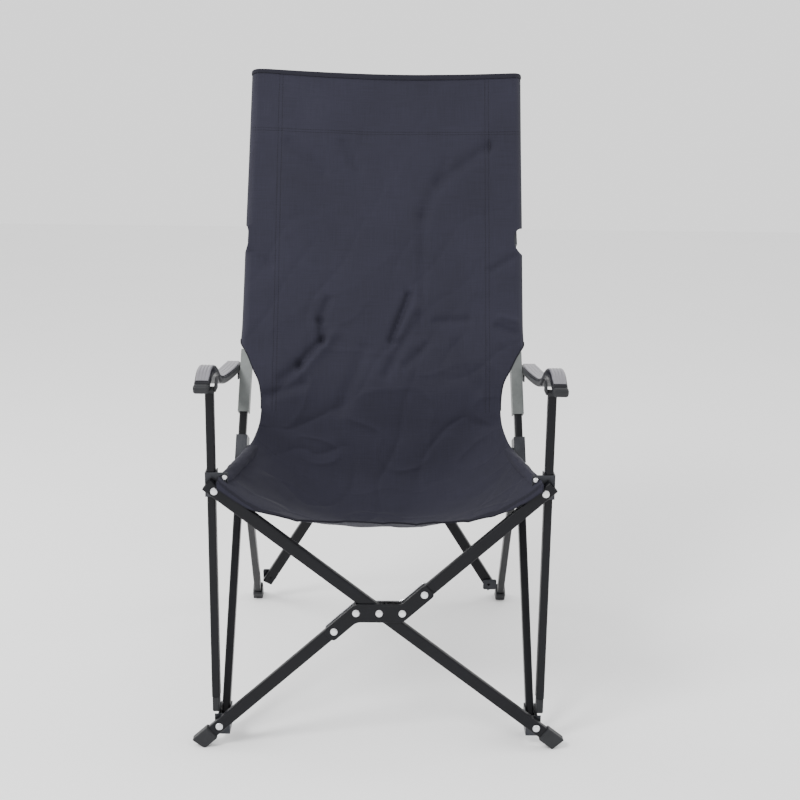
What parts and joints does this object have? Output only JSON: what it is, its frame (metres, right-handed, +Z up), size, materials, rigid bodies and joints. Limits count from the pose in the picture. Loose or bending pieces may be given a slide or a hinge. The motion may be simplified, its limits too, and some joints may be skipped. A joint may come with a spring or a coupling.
{
  "type": "folding camp chair",
  "caption": "High-back folding camp chair with crossed front legs, S-shaped armrests and a hung fabric sling; the frame collects towards its middle.",
  "frame": {"origin": "on the ground, in the middle of the chair's width and depth", "axes": "+Z up, the sitter faces -Y, +X is to the right of a viewer who faces the chair"},
  "size_m": [0.6039, 0.6687, 1.0623],
  "materials": {
    "bright_steel": "bright zinc plate",
    "black_tube": "satin black powder coat",
    "grey_steel": "dark grey satin coat",
    "dark_plastic": "moulded matt",
    "arm_grey": "ribbed, semi gloss",
    "sling_cloth": "plain woven oxford cloth"
  },
  "bodies": {
    "foot_left": {"foot_joint_left": "grey_steel", "foot_pin_left": "bright_steel", "foot_rivet_left": "bright_steel"},
    "foot_right": {"foot_joint_right": "grey_steel", "foot_pin_right": "bright_steel", "foot_rivet_right": "bright_steel"},
    "front_leg_split": {"front_leg_lower_half": "black_tube", "front_leg_upper_half": "black_tube", "front_hub_plate": "black_tube", "front_hub_rivet_plate": "bright_steel", "front_foot_cap_left": "dark_plastic"},
    "front_leg_whole": {"front_leg_through": "black_tube", "front_foot_cap_right": "dark_plastic"},
    "post_left": {"arm_post_left": "black_tube", "arm_post_plug_left": "dark_plastic", "arm_post_cap_left": "dark_plastic", "seat_corner_bracket_left": "grey_steel", "seat_rivet_left": "bright_steel", "sling_corner_screw_left": "bright_steel"},
    "back_left": {"back_post_left": "black_tube", "back_post_cap_left": "dark_plastic", "arm_bracket_left": "bright_steel", "cross_clamp_left": "grey_steel", "seat_hinge_bracket_left": "grey_steel", "rear_leg_pin_left": "bright_steel", "sling_back": "sling_cloth"},
    "rear_leg_left": {"rear_leg_left": "black_tube", "rear_foot_cap_left": "dark_plastic"},
    "seat_rail_left": {"seat_rail_left": "black_tube", "sling_seat": "sling_cloth"},
    "arm_left": {"armrest_left": "arm_grey", "armrest_front_cap_left": "dark_plastic", "armrest_rear_lug_left": "grey_steel"},
    "post_right": {"arm_post_right": "black_tube", "arm_post_plug_right": "dark_plastic", "arm_post_cap_right": "dark_plastic", "seat_corner_bracket_right": "grey_steel", "seat_rivet_right": "bright_steel", "sling_corner_screw_right": "bright_steel"},
    "back_right": {"back_post_right": "black_tube", "back_post_cap_right": "dark_plastic", "arm_bracket_right": "bright_steel", "cross_clamp_right": "grey_steel", "seat_hinge_bracket_right": "grey_steel", "rear_leg_pin_right": "bright_steel"},
    "rear_leg_right": {"rear_leg_right": "black_tube", "rear_foot_cap_right": "dark_plastic"},
    "seat_rail_right": {"seat_rail_right": "black_tube"},
    "arm_right": {"armrest_right": "arm_grey", "armrest_front_cap_right": "dark_plastic", "armrest_rear_lug_right": "grey_steel"},
    "cross_swivel_left": {"cross_top_swivel_left": "grey_steel"},
    "cross_swivel_right": {"cross_top_swivel_right": "grey_steel"},
    "cross_front": {"rear_cross_front": "black_tube", "rear_cross_rivet": "bright_steel"},
    "cross_rear": {"rear_cross_rear": "black_tube"},
    "cross_foot_right": {"cross_foot_swivel_right": "grey_steel"},
    "cross_foot_left": {"cross_foot_swivel_left": "grey_steel"}
  },
  "joints": [
    {"name": "front_fold", "type": "hinge", "parent": "foot_left", "child": "front_leg_split", "pos_m": [-0.2575, -0.3102, 0.0361], "axis": [0, -1, 0], "range_deg": [0, 41]},
    {"name": "leg_cross", "type": "hinge", "parent": "front_leg_split", "child": "front_leg_whole", "pos_m": [0, -0.3102, 0.2368], "axis": [0, 1, 0], "range_deg": [0, 82]},
    {"name": "foot_right_turn", "type": "hinge", "parent": "front_leg_whole", "child": "foot_right", "pos_m": [0.2575, -0.3102, 0.0361], "axis": [0, -1, 0], "range_deg": [0, 41]},
    {"name": "post_left_turn", "type": "hinge", "parent": "front_leg_whole", "child": "post_left", "pos_m": [-0.2575, -0.3102, 0.4375], "axis": [0, -1, 0], "range_deg": [0, 41]},
    {"name": "post_right_turn", "type": "hinge", "parent": "front_leg_split", "child": "post_right", "pos_m": [0.2575, -0.3102, 0.4375], "axis": [0, 1, 0], "range_deg": [0, 41]},
    {"name": "back_left_lean", "type": "hinge", "parent": "foot_left", "child": "back_left", "pos_m": [-0.2514, -0.2661, 0.04], "axis": [1, 0, 0], "range_deg": [0, 20.06], "deforming": ["sling_back"]},
    {"name": "rear_leg_left_fold", "type": "hinge", "parent": "back_left", "child": "rear_leg_left", "pos_m": [-0.23761, -0.06068, 0.42999], "axis": [-1, 0, 0], "range_deg": [0, 65.97]},
    {"name": "seat_rail_left_fold", "type": "hinge", "parent": "back_left", "child": "seat_rail_left", "pos_m": [-0.2102, -0.08249, 0.44], "axis": [-1, 0, 0], "range_deg": [0, 97.35], "deforming": ["sling_seat"]},
    {"name": "arm_left_fold", "type": "hinge", "parent": "post_left", "child": "arm_left", "pos_m": [-0.264, -0.2807, 0.604], "axis": [-1, 0, 0], "range_deg": [0, 64.98]},
    {"name": "back_right_lean", "type": "hinge", "parent": "foot_right", "child": "back_right", "pos_m": [0.2514, -0.2661, 0.04], "axis": [1, 0, 0], "range_deg": [0, 20.06]},
    {"name": "rear_leg_right_fold", "type": "hinge", "parent": "back_right", "child": "rear_leg_right", "pos_m": [0.23761, -0.06068, 0.42999], "axis": [-1, 0, 0], "range_deg": [0, 65.97]},
    {"name": "seat_rail_right_fold", "type": "hinge", "parent": "back_right", "child": "seat_rail_right", "pos_m": [0.2102, -0.08249, 0.44], "axis": [-1, 0, 0], "range_deg": [0, 97.35]},
    {"name": "arm_right_fold", "type": "hinge", "parent": "post_right", "child": "arm_right", "pos_m": [0.264, -0.2807, 0.604], "axis": [-1, 0, 0], "range_deg": [0, 64.98]},
    {"name": "cross_tilt", "type": "hinge", "parent": "back_left", "child": "cross_swivel_left", "pos_m": [-0.196, 0.1049, 0.7668], "axis": [-1, 0, 0], "range_deg": [0, 38.82]},
    {"name": "cross_left_turn", "type": "hinge", "parent": "cross_swivel_left", "child": "cross_front", "pos_m": [-0.196, 0.1049, 0.7668], "axis": [0, 0.9701, 0.2427], "range_deg": [0, 29.33]},
    {"name": "cross_centre", "type": "hinge", "parent": "cross_front", "child": "cross_rear", "pos_m": [0, 0.189, 0.4307], "axis": [0, -0.9701, -0.2427], "range_deg": [0, 58.66]},
    {"name": "cross_right_turn", "type": "hinge", "parent": "cross_rear", "child": "cross_swivel_right", "pos_m": [0.196, 0.1049, 0.7668], "axis": [0, 0.9701, 0.2427], "range_deg": [0, 29.33]},
    {"name": "cross_foot_right_turn", "type": "hinge", "parent": "cross_front", "child": "cross_foot_right", "pos_m": [0.222, 0.2843, 0.05], "axis": [0, -0.9701, -0.2427], "range_deg": [0, 29.33]},
    {"name": "cross_foot_left_turn", "type": "hinge", "parent": "cross_rear", "child": "cross_foot_left", "pos_m": [-0.222, 0.2843, 0.05], "axis": [0, 0.9701, 0.2427], "range_deg": [0, 29.33]}
  ],
  "couplings": [
    {"joint": "leg_cross", "follows": "front_fold", "ratio": 2},
    {"joint": "foot_right_turn", "follows": "front_fold", "ratio": 0.99999},
    {"joint": "post_left_turn", "follows": "front_fold", "ratio": 0.99999},
    {"joint": "post_right_turn", "follows": "front_fold", "ratio": 0.99999},
    {"joint": "back_left_lean", "follows": "front_fold", "ratio": 0.48917},
    {"joint": "rear_leg_left_fold", "follows": "front_fold", "ratio": 1.6091},
    {"joint": "seat_rail_left_fold", "follows": "front_fold", "ratio": 2.3745},
    {"joint": "arm_left_fold", "follows": "front_fold", "ratio": 1.585},
    {"joint": "back_right_lean", "follows": "front_fold", "ratio": 0.48917},
    {"joint": "rear_leg_right_fold", "follows": "front_fold", "ratio": 1.6091},
    {"joint": "seat_rail_right_fold", "follows": "front_fold", "ratio": 2.3745},
    {"joint": "arm_right_fold", "follows": "front_fold", "ratio": 1.585},
    {"joint": "cross_tilt", "follows": "front_fold", "ratio": 0.94682},
    {"joint": "cross_left_turn", "follows": "front_fold", "ratio": 0.71534},
    {"joint": "cross_centre", "follows": "front_fold", "ratio": 1.4307},
    {"joint": "cross_right_turn", "follows": "front_fold", "ratio": 0.71534},
    {"joint": "cross_foot_right_turn", "follows": "front_fold", "ratio": 0.71534},
    {"joint": "cross_foot_left_turn", "follows": "front_fold", "ratio": 0.71534}
  ]
}
